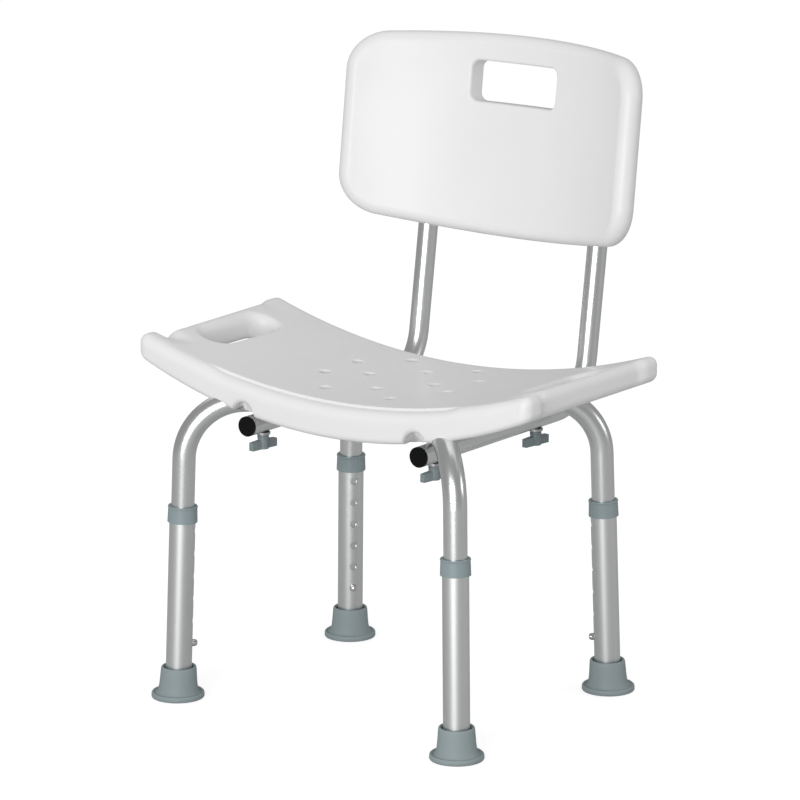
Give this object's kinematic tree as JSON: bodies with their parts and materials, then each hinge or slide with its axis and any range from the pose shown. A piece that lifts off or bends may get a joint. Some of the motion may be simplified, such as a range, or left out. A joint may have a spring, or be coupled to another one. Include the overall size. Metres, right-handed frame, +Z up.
{
  "type": "shower chair",
  "caption": "Bath and shower chair: contoured seat with side handles, curved backrest, splayed aluminium legs that slide to set the height.",
  "frame": {"origin": "on the floor, under the centre of the chair's bounding box", "axes": "+Z up, -Y to the front of the seat, +X to the right-hand side seen from the front"},
  "size_m": [0.52, 0.4318, 0.7],
  "materials": {
    "white_moulding": "fine moulded grain",
    "satin_aluminium": "satin anodised",
    "grey_plastic": "smooth moulded",
    "grey_rubber": "matte moulded rubber",
    "black_plastic": "smooth moulded",
    "zinc_steel": "bright zinc plated",
    "bright_steel": "polished",
    "spring_steel": "bright strip",
    "brass_insert": "turned"
  },
  "bodies": {
    "frame": {"seat": "white_moulding", "seat_inserts": "brass_insert", "backrest": "white_moulding", "backrest_screws": "zinc_steel", "back_tube_left": "satin_aluminium", "back_tube_right": "satin_aluminium", "tube_cap_left": "black_plastic", "tube_cap_right": "black_plastic", "leg_arch_upper": "satin_aluminium", "leg_arch_lower": "satin_aluminium", "lap_bolt": "zinc_steel", "lap_nut": "zinc_steel", "knob_washers": "black_plastic", "button_spring_front_left": "spring_steel", "button_spring_front_right": "spring_steel", "button_spring_back_left": "spring_steel", "button_spring_back_right": "spring_steel"},
    "leg_front_left": {"leg_tube_front_left": "satin_aluminium", "leg_collar_front_left": "grey_plastic", "foot_front_left": "grey_rubber", "foot_disc_front_left": "zinc_steel"},
    "leg_front_right": {"leg_tube_front_right": "satin_aluminium", "leg_collar_front_right": "grey_plastic", "foot_front_right": "grey_rubber", "foot_disc_front_right": "zinc_steel"},
    "leg_back_left": {"leg_tube_back_left": "satin_aluminium", "leg_collar_back_left": "grey_plastic", "foot_back_left": "grey_rubber", "foot_disc_back_left": "zinc_steel"},
    "leg_back_right": {"leg_tube_back_right": "satin_aluminium", "leg_collar_back_right": "grey_plastic", "foot_back_right": "grey_rubber", "foot_disc_back_right": "zinc_steel"},
    "button_front_left": {"snap_button_front_left": "bright_steel"},
    "button_front_right": {"snap_button_front_right": "bright_steel"},
    "button_back_left": {"snap_button_back_left": "bright_steel"},
    "button_back_right": {"snap_button_back_right": "bright_steel"},
    "knob_front_left": {"knob_wing_front_left": "grey_plastic", "knob_stud_front_left": "zinc_steel"},
    "knob_front_right": {"knob_wing_front_right": "grey_plastic", "knob_stud_front_right": "zinc_steel"},
    "knob_back_left": {"knob_wing_back_left": "grey_plastic", "knob_stud_back_left": "zinc_steel"},
    "knob_back_right": {"knob_wing_back_right": "grey_plastic", "knob_stud_back_right": "zinc_steel"}
  },
  "joints": [
    {"name": "leg_front_left_slide", "type": "slide", "parent": "frame", "child": "leg_front_left", "axis": [-0.0272, -0.0224, -0.9994], "range_m": [0, 0.127], "deforming": ["snap_button_front_left"]},
    {"name": "leg_front_right_slide", "type": "slide", "parent": "frame", "child": "leg_front_right", "axis": [0.0272, -0.0224, -0.9994], "range_m": [0, 0.127], "deforming": ["snap_button_front_right"]},
    {"name": "leg_back_left_slide", "type": "slide", "parent": "frame", "child": "leg_back_left", "axis": [-0.0272, 0.0224, -0.9994], "range_m": [0, 0.127], "deforming": ["snap_button_back_left"]},
    {"name": "leg_back_right_slide", "type": "slide", "parent": "frame", "child": "leg_back_right", "axis": [0.0272, 0.0224, -0.9994], "range_m": [0, 0.127], "deforming": ["snap_button_back_right"]},
    {"name": "button_front_left_press", "type": "slide", "parent": "frame", "child": "button_front_left", "axis": [-0.7722, -0.6344, 0.0352], "range_m": [0, 0.007], "stiffness_N_per_m": 800, "deforming": ["button_spring_front_left"]},
    {"name": "button_front_right_press", "type": "slide", "parent": "frame", "child": "button_front_right", "axis": [0.7722, -0.6344, 0.0352], "range_m": [0, 0.007], "stiffness_N_per_m": 800, "deforming": ["button_spring_front_right"]},
    {"name": "button_back_left_press", "type": "slide", "parent": "frame", "child": "button_back_left", "axis": [-0.7722, 0.6344, 0.0352], "range_m": [0, 0.007], "stiffness_N_per_m": 800, "deforming": ["button_spring_back_left"]},
    {"name": "button_back_right_press", "type": "slide", "parent": "frame", "child": "button_back_right", "axis": [0.7722, 0.6344, 0.0352], "range_m": [0, 0.007], "stiffness_N_per_m": 800, "deforming": ["button_spring_back_right"]},
    {"name": "knob_front_left_turn", "type": "hinge", "parent": "frame", "child": "knob_front_left", "pos_m": [-0.1146, -0.12611, 0.29], "axis": [0, 0, 1], "continuous": true},
    {"name": "knob_front_right_turn", "type": "hinge", "parent": "frame", "child": "knob_front_right", "pos_m": [0.1146, -0.12611, 0.29], "axis": [0, 0, 1], "continuous": true},
    {"name": "knob_back_left_turn", "type": "hinge", "parent": "frame", "child": "knob_back_left", "pos_m": [-0.1146, 0.0622, 0.29], "axis": [0, 0, 1], "continuous": true},
    {"name": "knob_back_right_turn", "type": "hinge", "parent": "frame", "child": "knob_back_right", "pos_m": [0.1146, 0.0622, 0.29], "axis": [0, 0, 1], "continuous": true}
  ]
}
